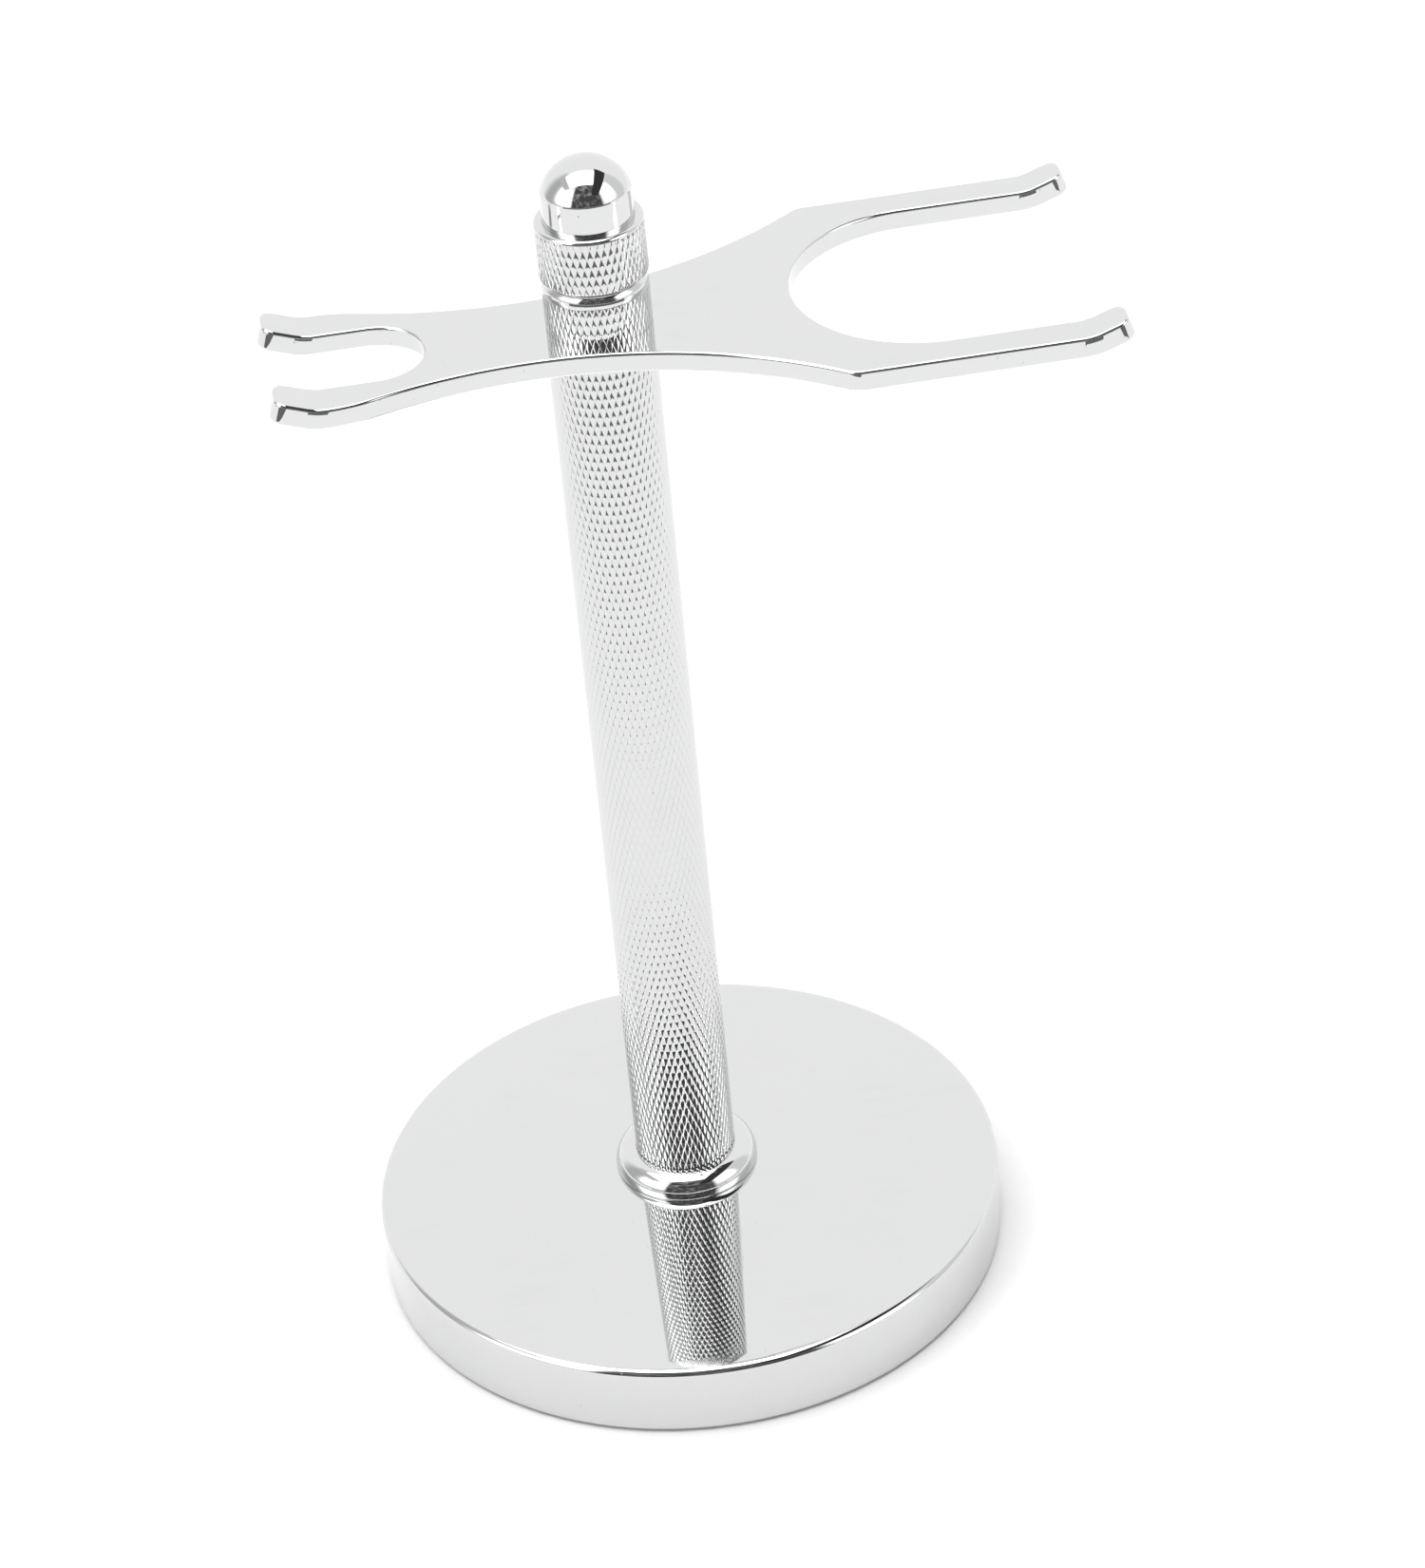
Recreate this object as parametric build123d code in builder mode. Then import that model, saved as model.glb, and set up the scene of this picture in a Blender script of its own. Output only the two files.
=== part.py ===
from build123d import *
from math import radians, sqrt, tan
import os

os.makedirs("parts", exist_ok=True)

# Razor and brush stand. Millimetres. The stand rests on Z = 0 with its stem on the Z axis.
# The brush fork points along +X and the razor fork along -X.

# Fits between pieces
press_gap = 0.01            # radial room left round a piece that is pressed or screwed home
running_gap = 0.05          # radial room round the stud for what turns or screws on it
slip_gap = 0.1              # radial room where one piece is dropped round another
pad_edge_gap = 0.3          # room round the pad in its recess
head_room = 0.35            # room between the screw head and the pad

# Base
base_diameter = 75.0
base_rim_height = 8.7       # height of the metal at the rim
base_crown = 1.85           # how far the top rises from the rim to the middle
base_edge_radius = 0.9
base_skirt = 2.5            # width of the metal ring round the pad

# Pad under the base
pad_thickness = 1.4
pad_proud = 0.4             # how far the pad stands out below the metal

# Screw and washers that hold the stem
screw_diameter = 5.0
screw_length = 16.0
screw_head_diameter = 9.5
screw_head_height = 2.75
screw_head_round = 1.6
screw_hex = 3.0             # socket across its flats
screw_hex_depth = 1.6
screw_hole_room = 0.25      # radial room round the screw in the base
washer_diameter = 10.0
flat_washer_thickness = 0.8
lock_washer_diameter = 9.2
lock_washer_thickness = 1.1
lock_washer_split = 0.9

# Collar round the foot of the stem
collar_width = 2.45         # from the stem outwards
collar_foot_round = 0.25
collar_wall_height = 0.3    # from the base to where the rounded shoulder starts
collar_dome_height = 2.45   # rounded part above it
collar_lip = 0.05           # flat left at the inner edge

# Stem
stem_diameter = 12.0
stem_bore = 9.0
stem_length = 115.4
socket_depth = 2.0          # how far the stem sinks into the base
stem_edge = 0.3
plug_length = 14.0

# Clamp stud
stud_diameter = 5.0
stud_in_plug = 12.0
stud_in_nut = 7.0
stud_edge = 0.4

# Holder plate
plate_thickness = 2.4
waist_width = 13.7
waist_offset = 8.5          # the waist lies this far towards the razor fork
tip_angle = 20.0
tip_bend_radius = 6.0       # inside the bend
tip_corner_radius = 1.4

brush_slot_width = 30.0
brush_slot_centre = 36.0    # stem axis to the middle of the round end
brush_prong_width = 4.1
brush_reach = 55.2          # stem axis to the ends of the prongs
brush_shoulder = 24.7       # stem axis to where the parallel sides start
brush_shoulder_radius = 2.0
brush_flat = 50.8           # stem axis to the bend

razor_slot_width = 11.6
razor_slot_centre = 24.9
razor_prong_width = 4.75
razor_reach = 36.8
razor_shoulder = 27.8
razor_shoulder_radius = 16.0
razor_flat = 32.1

# Sleeve, thrust ring and cap
sleeve_diameter = 11.7
sleeve_height = 4.5
thrust_ring_height = 1.6
thrust_ring_round = 1.2
cap_ring_diameter = 12.0
cap_ring_height = 6.7
cap_ring_round = 0.6
cap_seat_depth = 1.6        # how far the dome sinks into the cap ring
dome_diameter = 10.0
dome_neck_height = 3.5      # straight side of the dome above the cap ring
dome_crown_radius = 5.3     # ball radius of its top
dome_bore_room = 0.3        # radial room round the stud inside the dome
dome_bore_spare = 1.0       # room above the end of the stud

# Heights up the stand
pad_top = pad_thickness
base_bottom = pad_proud
rim_top = base_bottom + base_rim_height
crown_top = rim_top + base_crown
collar_bore = stem_diameter + 2 * slip_gap
collar_radius = collar_bore / 2 + collar_width
base_radius = base_diameter / 2
crown_radius = (base_radius**2 + base_crown**2) / (2 * base_crown)
crown_centre = crown_top - crown_radius
seat_radius = collar_radius + slip_gap
seat_top = crown_centre + sqrt(crown_radius**2 - seat_radius**2)
socket_floor = seat_top - socket_depth
head_bottom = pad_top + head_room
head_top = head_bottom + screw_head_height
lock_washer_top = head_top + lock_washer_thickness
flat_washer_top = lock_washer_top + flat_washer_thickness
stem_top = socket_floor + stem_length
plate_bottom = stem_top
plate_top = plate_bottom + plate_thickness
sleeve_top = plate_top + sleeve_height
thrust_ring_top = sleeve_top + thrust_ring_height
cap_ring_top = thrust_ring_top + cap_ring_height
stud_top = thrust_ring_top + stud_in_nut
stud_bottom = stem_top - stud_in_plug

# Holes that several pieces share
screw_hole = screw_diameter + 2 * screw_hole_room
tapped_hole = screw_diameter + 2 * press_gap
stud_seat = stud_diameter + 2 * press_gap
stud_hole = stud_diameter + 2 * running_gap


# Turned base: crowned top, seat and socket for the stem, recess for the pad, well for the screw
with BuildPart() as base_disc:
    with BuildSketch(Plane.XZ):
        with BuildLine():
            Line((0, base_bottom), (base_radius, base_bottom))
            Line((base_radius, base_bottom), (base_radius, rim_top))
            RadiusArc((base_radius, rim_top), (0, crown_top), -crown_radius)
            Line((0, crown_top), (0, base_bottom))
        make_face()
    revolve(axis=Axis.Z)
    rim_edges = base_disc.edges().group_by(SortBy.LENGTH)[-1]
    fillet(rim_edges.sort_by(Axis.Z)[-1], base_edge_radius)
    with BuildSketch(Plane.XY.offset(seat_top)):
        Circle(seat_radius)
    extrude(amount=base_crown, mode=Mode.SUBTRACT)
    with BuildSketch(Plane.XY.offset(socket_floor)):
        Circle(stem_diameter / 2 + press_gap)
    extrude(amount=socket_depth, mode=Mode.SUBTRACT)
    with BuildSketch(Plane.XY.offset(base_bottom)):
        Circle(base_radius - base_skirt)
    extrude(amount=pad_top - base_bottom, mode=Mode.SUBTRACT)
    with BuildSketch(Plane.XY.offset(pad_top)):
        Circle(washer_diameter / 2 + slip_gap)
    extrude(amount=flat_washer_top - pad_top, mode=Mode.SUBTRACT)
    with BuildSketch(Plane.XY.offset(base_bottom)):
        Circle(screw_hole / 2)
    extrude(amount=crown_top, mode=Mode.SUBTRACT)
base_disc.part.label = "base_disc"
export_step(base_disc.part, "parts/base_disc.step")


# Soft pad glued into the recess
with BuildPart() as base_pad:
    with BuildSketch():
        Circle(base_radius - base_skirt - pad_edge_gap)
    extrude(amount=pad_thickness)
base_pad.part.label = "base_pad"
export_step(base_pad.part, "parts/base_pad.step")


# Button head screw, head down, that pulls the stem onto the base
with BuildPart() as base_screw:
    with BuildSketch(Plane.XY.offset(head_bottom)):
        Circle(screw_head_diameter / 2)
    extrude(amount=screw_head_height)
    fillet(base_screw.edges().filter_by(GeomType.CIRCLE).group_by(Axis.Z)[0], screw_head_round)
    with BuildSketch(Plane.XY.offset(head_top)):
        Circle(screw_diameter / 2)
    extrude(amount=screw_length)
    chamfer(base_screw.edges().filter_by(GeomType.CIRCLE).group_by(Axis.Z)[-1], stud_edge)
    with BuildSketch(Plane.XY.offset(head_bottom)):
        RegularPolygon(screw_hex / 2, 6, major_radius=False)
    extrude(amount=screw_hex_depth, mode=Mode.SUBTRACT)
base_screw.part.label = "base_screw"
export_step(base_screw.part, "parts/base_screw.step")


# Split spring washer under the screw head
with BuildPart() as base_lock_washer:
    with BuildSketch(Plane.XY.offset(head_top)):
        Circle(lock_washer_diameter / 2)
        Circle(screw_diameter / 2 + slip_gap, mode=Mode.SUBTRACT)
        with Locations((lock_washer_diameter / 2, 0)):
            Rectangle(lock_washer_diameter, lock_washer_split, mode=Mode.SUBTRACT)
    extrude(amount=lock_washer_thickness)
base_lock_washer.part.label = "base_lock_washer"
export_step(base_lock_washer.part, "parts/base_lock_washer.step")


# Flat washer between the spring washer and the base
with BuildPart() as base_flat_washer:
    with BuildSketch(Plane.XY.offset(lock_washer_top)):
        Circle(washer_diameter / 2)
        Circle(screw_diameter / 2 + slip_gap, mode=Mode.SUBTRACT)
    extrude(amount=flat_washer_thickness)
base_flat_washer.part.label = "base_flat_washer"
export_step(base_flat_washer.part, "parts/base_flat_washer.step")


# Collar: rounded foot, a narrow upright edge, then a shoulder that rolls in to the stem
with BuildPart() as foot_collar:
    with BuildSketch(Plane.XZ):
        with BuildLine():
            collar_bore_radius = collar_bore / 2
            collar_edge_top = seat_top + collar_wall_height
            collar_top = collar_edge_top + collar_dome_height
            collar_foot_radius = collar_radius - collar_foot_round
            collar_foot_top = seat_top + collar_foot_round
            Line((collar_bore_radius, seat_top), (collar_foot_radius, seat_top))
            CenterArc((collar_foot_radius, collar_foot_top), collar_foot_round, -90, 90)
            Line((collar_radius, collar_foot_top), (collar_radius, collar_edge_top))
            EllipticalCenterArc(
                (collar_bore_radius + collar_lip, collar_edge_top),
                collar_width - collar_lip,
                collar_dome_height,
                start_angle=0,
                arc_size=90,
            )
            Line((collar_bore_radius + collar_lip, collar_top), (collar_bore_radius, collar_top))
            Line((collar_bore_radius, collar_top), (collar_bore_radius, seat_top))
        make_face()
    revolve(axis=Axis.Z)
foot_collar.part.label = "foot_collar"
export_step(foot_collar.part, "parts/foot_collar.step")


# Stem: a plain tube here, its outside drawn over the points of the knurling
with BuildPart() as stem_tube:
    with BuildSketch(Plane.XY.offset(socket_floor)):
        Circle(stem_diameter / 2)
        Circle(stem_bore / 2, mode=Mode.SUBTRACT)
    extrude(amount=stem_length)
    chamfer(stem_tube.edges().filter_by(GeomType.CIRCLE).group_by(SortBy.RADIUS)[-1], stem_edge)
stem_tube.part.label = "stem_tube"
export_step(stem_tube.part, "parts/stem_tube.step")


# Tapped plug in the foot of the stem, for the base screw
with BuildPart() as stem_lower_plug:
    with BuildSketch(Plane.XY.offset(socket_floor)):
        Circle(stem_bore / 2 - press_gap)
        Circle(tapped_hole / 2, mode=Mode.SUBTRACT)
    extrude(amount=plug_length)
stem_lower_plug.part.label = "stem_lower_plug"
export_step(stem_lower_plug.part, "parts/stem_lower_plug.step")


# Tapped plug in the top of the stem, for the stud
with BuildPart() as stem_upper_plug:
    with BuildSketch(Plane.XY.offset(stem_top - plug_length)):
        Circle(stem_bore / 2 - press_gap)
        Circle(stud_seat / 2, mode=Mode.SUBTRACT)
    extrude(amount=plug_length)
stem_upper_plug.part.label = "stem_upper_plug"
export_step(stem_upper_plug.part, "parts/stem_upper_plug.step")


# Stud: fixed in the upper plug, it stands up through the plate, sleeve and ring into the cap
with BuildPart() as clamp_stud:
    with BuildSketch(Plane.XY.offset(stud_bottom)):
        Circle(stud_diameter / 2)
    extrude(amount=stud_top - stud_bottom)
    chamfer(clamp_stud.edges().filter_by(GeomType.CIRCLE), stud_edge)
clamp_stud.part.label = "clamp_stud"
export_step(clamp_stud.part, "parts/clamp_stud.step")


# Holder plate: one flat blank with a fork at each end, the prong ends bent up
with BuildPart() as holder_plate:
    brush_half = brush_slot_width / 2 + brush_prong_width
    razor_half = razor_slot_width / 2 + razor_prong_width
    bend_setback = plate_thickness * tan(radians(tip_angle / 2))
    bend_rise = tan(radians(tip_angle))
    blank_reach = brush_reach + razor_reach
    blank_height = plate_thickness + blank_reach
    with BuildSketch(Plane.XY.offset(plate_bottom)) as blank:
        with BuildLine():
            waist = (-waist_offset, waist_width / 2)
            Line((-waist_offset, 0), (-razor_reach, 0))
            Line((-razor_reach, 0), (-razor_reach, razor_half))
            Line((-razor_reach, razor_half), (-razor_shoulder, razor_half))
            TangentArc(waist, (-razor_shoulder, razor_half), tangent=(-1, 0))
            TangentArc(waist, (brush_shoulder, brush_half), tangent=(1, 0))
            Line((brush_shoulder, brush_half), (brush_reach, brush_half))
            Line((brush_reach, brush_half), (brush_reach, 0))
            Line((brush_reach, 0), (-waist_offset, 0))
        make_face()
        mirror(about=Plane.XZ)
        with Locations((brush_slot_centre, 0)):
            Circle(brush_slot_width / 2, mode=Mode.SUBTRACT)
        with Locations((brush_slot_centre, 0)):
            Rectangle(brush_reach, brush_slot_width, align=(Align.MIN, Align.CENTER), mode=Mode.SUBTRACT)
        with Locations((-razor_slot_centre, 0)):
            Circle(razor_slot_width / 2, mode=Mode.SUBTRACT)
        with Locations((-razor_slot_centre, 0)):
            Rectangle(razor_reach, razor_slot_width, align=(Align.MAX, Align.CENTER), mode=Mode.SUBTRACT)
        ends = blank.vertices().group_by(Axis.X)
        fillet(ends[0], tip_corner_radius)
        fillet(blank.vertices().group_by(Axis.X)[-1], tip_corner_radius)
        corners = blank.vertices().filter_by(lambda v: abs(abs(v.Y) - brush_half) < press_gap)
        fillet(corners.filter_by(lambda v: abs(v.X - brush_shoulder) < press_gap), brush_shoulder_radius)
        corners = blank.vertices().filter_by(lambda v: abs(abs(v.Y) - razor_half) < press_gap)
        fillet(corners.filter_by(lambda v: abs(v.X + razor_shoulder) < press_gap), razor_shoulder_radius)
    extrude(amount=blank_height)
    with BuildSketch(Plane.XZ) as bent_profile:
        with BuildLine():
            brush_end = brush_flat + blank_reach
            razor_end = -razor_flat - blank_reach
            end_rise = blank_reach * bend_rise
            Polyline(
                (-razor_flat, plate_bottom),
                (brush_flat, plate_bottom),
                (brush_end, plate_bottom + end_rise),
                (brush_end - bend_setback, plate_top + end_rise),
                (brush_flat - bend_setback, plate_top),
                (bend_setback - razor_flat, plate_top),
                (razor_end + bend_setback, plate_top + end_rise),
                (razor_end, plate_bottom + end_rise),
                close=True,
            )
        make_face()
        inside = bent_profile.vertices().filter_by(lambda v: abs(v.Z - plate_top) < press_gap)
        fillet(inside, tip_bend_radius)
        outside = bent_profile.vertices().filter_by(lambda v: abs(v.Z - plate_bottom) < press_gap)
        fillet(outside, tip_bend_radius + plate_thickness)
    extrude(amount=brush_half + razor_half, both=True, mode=Mode.INTERSECT)
    with BuildSketch(Plane.XY.offset(plate_bottom)):
        Circle(stud_hole / 2)
    extrude(amount=plate_thickness, mode=Mode.SUBTRACT)
holder_plate.part.label = "holder_plate"
export_step(holder_plate.part, "parts/holder_plate.step")


# Sleeve fixed on the plate: its outside drawn over the points of the knurling
with BuildPart() as upper_sleeve:
    with BuildSketch(Plane.XY.offset(plate_top)):
        Circle(sleeve_diameter / 2)
        Circle(stud_hole / 2, mode=Mode.SUBTRACT)
    extrude(amount=sleeve_height)
upper_sleeve.part.label = "upper_sleeve"
export_step(upper_sleeve.part, "parts/upper_sleeve.step")


# Thrust ring: polished, round-shouldered, loose on the stud under the cap
with BuildPart() as thrust_ring:
    with BuildSketch(Plane.XY.offset(sleeve_top)):
        Circle(sleeve_diameter / 2)
        Circle(stud_hole / 2, mode=Mode.SUBTRACT)
    extrude(amount=thrust_ring_height)
    top_edges = thrust_ring.edges().filter_by(GeomType.CIRCLE).group_by(Axis.Z)[-1]
    fillet(top_edges.sort_by(SortBy.RADIUS)[-1], thrust_ring_round)
thrust_ring.part.label = "thrust_ring"
export_step(thrust_ring.part, "parts/thrust_ring.step")


# Cap ring: the knurled finger nut, with a seat in its top for the dome
with BuildPart() as cap_ring:
    with BuildSketch(Plane.XY.offset(thrust_ring_top)):
        Circle(cap_ring_diameter / 2)
        Circle(stud_hole / 2, mode=Mode.SUBTRACT)
    extrude(amount=cap_ring_height)
    with BuildSketch(Plane.XY.offset(cap_ring_top - cap_seat_depth)):
        Circle(dome_diameter / 2 + press_gap)
    extrude(amount=cap_seat_depth, mode=Mode.SUBTRACT)
    fillet(cap_ring.edges().filter_by(GeomType.CIRCLE).group_by(SortBy.RADIUS)[-1], cap_ring_round)
cap_ring.part.label = "cap_ring"
export_step(cap_ring.part, "parts/cap_ring.step")


# Dome: polished top of the cap, pressed into the cap ring over the end of the stud
with BuildPart() as cap_dome:
    dome_radius = dome_diameter / 2
    dome_bottom = cap_ring_top - cap_seat_depth
    dome_neck_top = cap_ring_top + dome_neck_height
    dome_top = dome_neck_top + dome_crown_radius - sqrt(dome_crown_radius**2 - dome_radius**2)
    with BuildSketch(Plane.XZ):
        with BuildLine():
            Line((0, dome_bottom), (dome_radius, dome_bottom))
            Line((dome_radius, dome_bottom), (dome_radius, dome_neck_top))
            RadiusArc((dome_radius, dome_neck_top), (0, dome_top), -dome_crown_radius)
            Line((0, dome_top), (0, dome_bottom))
        make_face()
    revolve(axis=Axis.Z)
    with BuildSketch(Plane.XY.offset(dome_bottom)):
        Circle(stud_diameter / 2 + dome_bore_room)
    extrude(amount=stud_top + dome_bore_spare - dome_bottom, mode=Mode.SUBTRACT)
cap_dome.part.label = "cap_dome"
export_step(cap_dome.part, "parts/cap_dome.step")
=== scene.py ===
import bpy
import bmesh
from math import acos, asin, atan2, ceil, cos, hypot, pi, radians, sin, sqrt, tan
from mathutils import Matrix, Quaternion, Vector


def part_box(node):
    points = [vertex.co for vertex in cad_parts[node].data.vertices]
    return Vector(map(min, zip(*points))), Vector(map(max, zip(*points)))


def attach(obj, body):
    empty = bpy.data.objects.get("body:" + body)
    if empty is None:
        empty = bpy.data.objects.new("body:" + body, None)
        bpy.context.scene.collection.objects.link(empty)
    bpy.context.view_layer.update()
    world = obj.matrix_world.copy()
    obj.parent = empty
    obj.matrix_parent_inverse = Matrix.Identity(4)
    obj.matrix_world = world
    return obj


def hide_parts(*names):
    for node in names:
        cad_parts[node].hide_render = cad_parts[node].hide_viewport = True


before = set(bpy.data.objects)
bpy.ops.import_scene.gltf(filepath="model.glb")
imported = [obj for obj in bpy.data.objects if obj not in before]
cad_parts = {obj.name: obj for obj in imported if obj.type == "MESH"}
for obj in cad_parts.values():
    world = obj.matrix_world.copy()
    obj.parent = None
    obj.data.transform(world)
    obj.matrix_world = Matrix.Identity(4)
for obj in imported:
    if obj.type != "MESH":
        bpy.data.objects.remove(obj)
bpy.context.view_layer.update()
print("razor stand: frame loaded")

mm = 0.001
upAxis = (0, 0, 1)
sameSpot = 1e-7         # points closer than this are one point
rimSlack = 0.05 * mm    # an open edge this near a height belongs to the rim there

# camera: it looks down at the stand from in front and a little to the left, rolled a few degrees

cameraView = {
    "lens": 114.33,
    "side": -5.814,       # degrees round the stand
    "height": 34.42,      # degrees above the floor
    "roll": -5.493,
    "distance": 0.5725,
    "aim": (0.00736, -0.00075, 0.06488),
    "clip": (0.01, 50),
}


def setCamera(view):
    side, height = radians(view["side"]), radians(view["height"])
    back = Vector((sin(side) * cos(height), -cos(side) * cos(height), sin(height)))
    lens = bpy.data.cameras.new("standCamera")
    lens.lens = view["lens"]
    lens.clip_start, lens.clip_end = view["clip"]
    camera = bpy.data.objects.new("standCamera", lens)
    bpy.context.collection.objects.link(camera)
    camera.location = Vector(view["aim"]) + back * view["distance"]
    camera.rotation_mode = "QUATERNION"
    turned = (-back).to_track_quat("-Z", "Y")
    camera.rotation_quaternion = turned @ Quaternion(upAxis, radians(view["roll"]))
    bpy.context.scene.camera = camera


class Wire:
    # an output in a shader tree: arithmetic on it adds Math nodes
    def __init__(self, tree, socket=None):
        self.tree = tree
        self.socket = socket

    def node(self, kind, settings={}, sockets={}, output=0):
        made = self.tree.nodes.new("ShaderNode" + kind)
        for name, value in settings.items():
            if name == "stops":
                while len(made.color_ramp.elements) < len(value):
                    made.color_ramp.elements.new(1)
                for stop, (place, shade) in zip(made.color_ramp.elements, value):
                    stop.position = place
                    stop.color = shade
            else:
                setattr(made, name, value)
        for name, value in sockets.items():
            if isinstance(value, Wire):
                self.tree.links.new(value.socket, made.inputs[name])
            else:
                made.inputs[name].default_value = value
        return Wire(self.tree, made.outputs[output] if made.outputs else None)

    def math(self, operation, *values):
        return self.node("Math", {"operation": operation}, dict(enumerate(values)))

    def __add__(self, other):
        return self.math("ADD", self, other)

    def __sub__(self, other):
        return self.math("SUBTRACT", self, other)

    def __rsub__(self, other):
        return self.math("SUBTRACT", other, self)

    def __mul__(self, other):
        return self.math("MULTIPLY", self, other)

    def __truediv__(self, other):
        return self.math("DIVIDE", self, other)

    __radd__ = __add__
    __rmul__ = __mul__

    def rise(self, low, high):
        # 0 at low, 1 at high, with a soft start and end
        settings = {"interpolation_type": "SMOOTHSTEP"}
        return self.node("MapRange", settings, {"Value": self, "From Min": low, "From Max": high})

    def between(self, low, high, soft):
        return self.rise(low - soft, low + soft) * (1 - self.rise(high - soft, high + soft))


def grey(level):
    return (level, level, level, 1)


# studio: white paper behind and below, panels round the stand

studio = {
    "paper": 1.19,
    "floorShade": 0.84,
    "floorSize": 12.0,
    "fibreScale": 900.0,
    "fibreShade": 0.02,     # how much the paper's shade varies
    # side in degrees from the camera's line, right is positive; height in degrees above level
    "standing": {
        "low front": {"side": (-104, 104), "height": (-95, 9), "level": 0.86, "soft": 4},
        "left wall": {"side": (-117, -84), "height": (-10, 60), "level": 0.60, "soft": 12},
        "left softbox": {"side": (-80, -38), "height": (12, 46), "level": 3.0, "soft": 9},
        "right wall": {"side": (40, 112), "height": (3, 50), "level": 0.90, "soft": 6},
        "right softbox": {"side": (46, 78), "height": (12, 47), "level": 3.0, "soft": 8},
        "dark room": {"side": (-38, 40), "height": (-40, 68), "level": 0.085, "soft": 4, "clutter": True},
    },
    # how far across and ahead at one metre up; across is to the right, ahead is towards the camera
    "overhead": {
        "roof's left": {"across": (-1.15, -0.66), "ahead": (-0.4, 0.5), "level": 0.7, "soft": 0.14},
        "roof": {"across": (-0.7, 0.4), "ahead": (-0.22, 0.45), "level": 4.0, "soft": 0.05},
        "roof's right": {"across": (0.35, 0.84), "ahead": (-0.36, 1.2), "level": 0.05, "soft": 0.02},
    },
    "overheadFade": (0.05, 0.1),     # how far up the overhead panels start and are whole
    # things standing about in the dark room
    "clutter": {"scale": 5.0, "level": 0.45, "start": 0.46, "full": 0.76},
    # dark floor of the room that starts where the paper ends in front of the stand
    "frontFloor": {"start": 0.30, "end": 3.0, "up": 1 * mm, "spread": 116, "steps": 40, "level": 0.19},
}


def setStudio(levels):
    world = bpy.data.worlds.new("studio")
    bpy.context.scene.world = world
    world.use_nodes = True
    world.node_tree.nodes.clear()
    start = Wire(world.node_tree)
    turned = {"Vector": start.node("TexCoord", output="Generated"), "Angle": -radians(cameraView["side"])}
    towards = start.node("VectorRotate", {"rotation_type": "Z_AXIS"}, turned)
    right, away, up = [start.node("SeparateXYZ", {}, {0: towards}, axis) for axis in "XYZ"]
    side = right.math("ARCTAN2", right, 0 - away) * (180 / pi)
    height = up.math("ARCSINE", up) * (180 / pi)
    light = levels["paper"]
    clutter = levels["clutter"]
    things = {"Vector": towards, "Scale": clutter["scale"], "Detail": 4.0, "Roughness": 0.6}
    lit = start.node("TexNoise", {}, things).rise(clutter["start"], clutter["full"]) * clutter["level"]
    for panel in levels["standing"].values():
        soft = panel["soft"]
        inside = side.between(*panel["side"], soft) * height.between(*panel["height"], soft)
        level = lit + panel["level"] if "clutter" in panel else panel["level"]
        light = inside * level + (1 - inside) * light
    lowest, whole = levels["overheadFade"]
    above = up.rise(lowest, whole)
    stretch = up.math("MAXIMUM", up, lowest)
    across, ahead = right / stretch, (0 - away) / stretch
    for panel in levels["overhead"].values():
        soft = panel["soft"]
        inside = across.between(*panel["across"], soft) * ahead.between(*panel["ahead"], soft) * above
        light = inside * panel["level"] + (1 - inside) * light
    shine = start.node("Background", {}, {"Color": grey(1), "Strength": light})
    start.node("OutputWorld", {}, {"Surface": shine})


def layPaper(levels):
    bm = bmesh.new()
    bmesh.ops.create_grid(bm, x_segments=2, y_segments=2, size=levels["floorSize"] / 2)
    material, start = newMaterial("paper")
    place = start.node("TexCoord", output="Object")
    fibre = start.node("TexNoise", {}, {"Vector": place, "Scale": levels["fibreScale"], "Detail": 3.0})
    shade = fibre * levels["fibreShade"] + (levels["floorShade"] - levels["fibreShade"] / 2)
    colour = start.node("CombineColor", {}, {0: shade, 1: shade, 2: shade})
    shader = start.node("BsdfDiffuse", {}, {"Color": colour})
    start.node("OutputMaterial", {}, {"Surface": shader})
    stageSheet(bm, "paperFloor", material)


def layFrontFloor(levels):
    # seen only in the plating, so that it doesn't show behind the stand from other sides
    front = levels["frontFloor"]
    bm = bmesh.new()
    near = bm.verts.new((front["start"], 0, front["up"]))
    far = bm.verts.new((front["end"], 0, front["up"]))
    line = [near, far, bm.edges.new((near, far))]
    spread = radians(front["spread"])
    turn = radians(cameraView["side"]) - pi / 2 - spread / 2
    bmesh.ops.rotate(bm, verts=bm.verts[:], matrix=Matrix.Rotation(turn, 3, "Z"))
    bmesh.ops.spin(bm, geom=line, cent=(0, 0, 0), axis=upAxis, angle=spread, steps=front["steps"])
    material, start = newMaterial("roomFloor")
    shader = start.node("Emission", {}, {"Color": grey(1), "Strength": front["level"]})
    start.node("OutputMaterial", {}, {"Surface": shader})
    sheet = stageSheet(bm, "roomFloor", material)
    sheet.visible_camera = False
    sheet.visible_diffuse = False
    sheet.visible_shadow = False


def stageSheet(bm, name, material):
    mesh = bpy.data.meshes.new(name)
    bm.to_mesh(mesh)
    bm.free()
    mesh.materials.append(material)
    sheet = bpy.data.objects.new(name, mesh)
    bpy.context.collection.objects.link(sheet)
    return sheet


def newMaterial(name):
    material = bpy.data.materials.new(name)
    material.use_nodes = True
    material.node_tree.nodes.clear()
    return material, Wire(material.node_tree)


bpy.context.scene.view_settings.view_transform = "Standard"
setCamera(cameraView)
setStudio(studio)
layPaper(studio)
layFrontFloor(studio)
print("razor stand: camera and studio set")


# finishes

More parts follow.
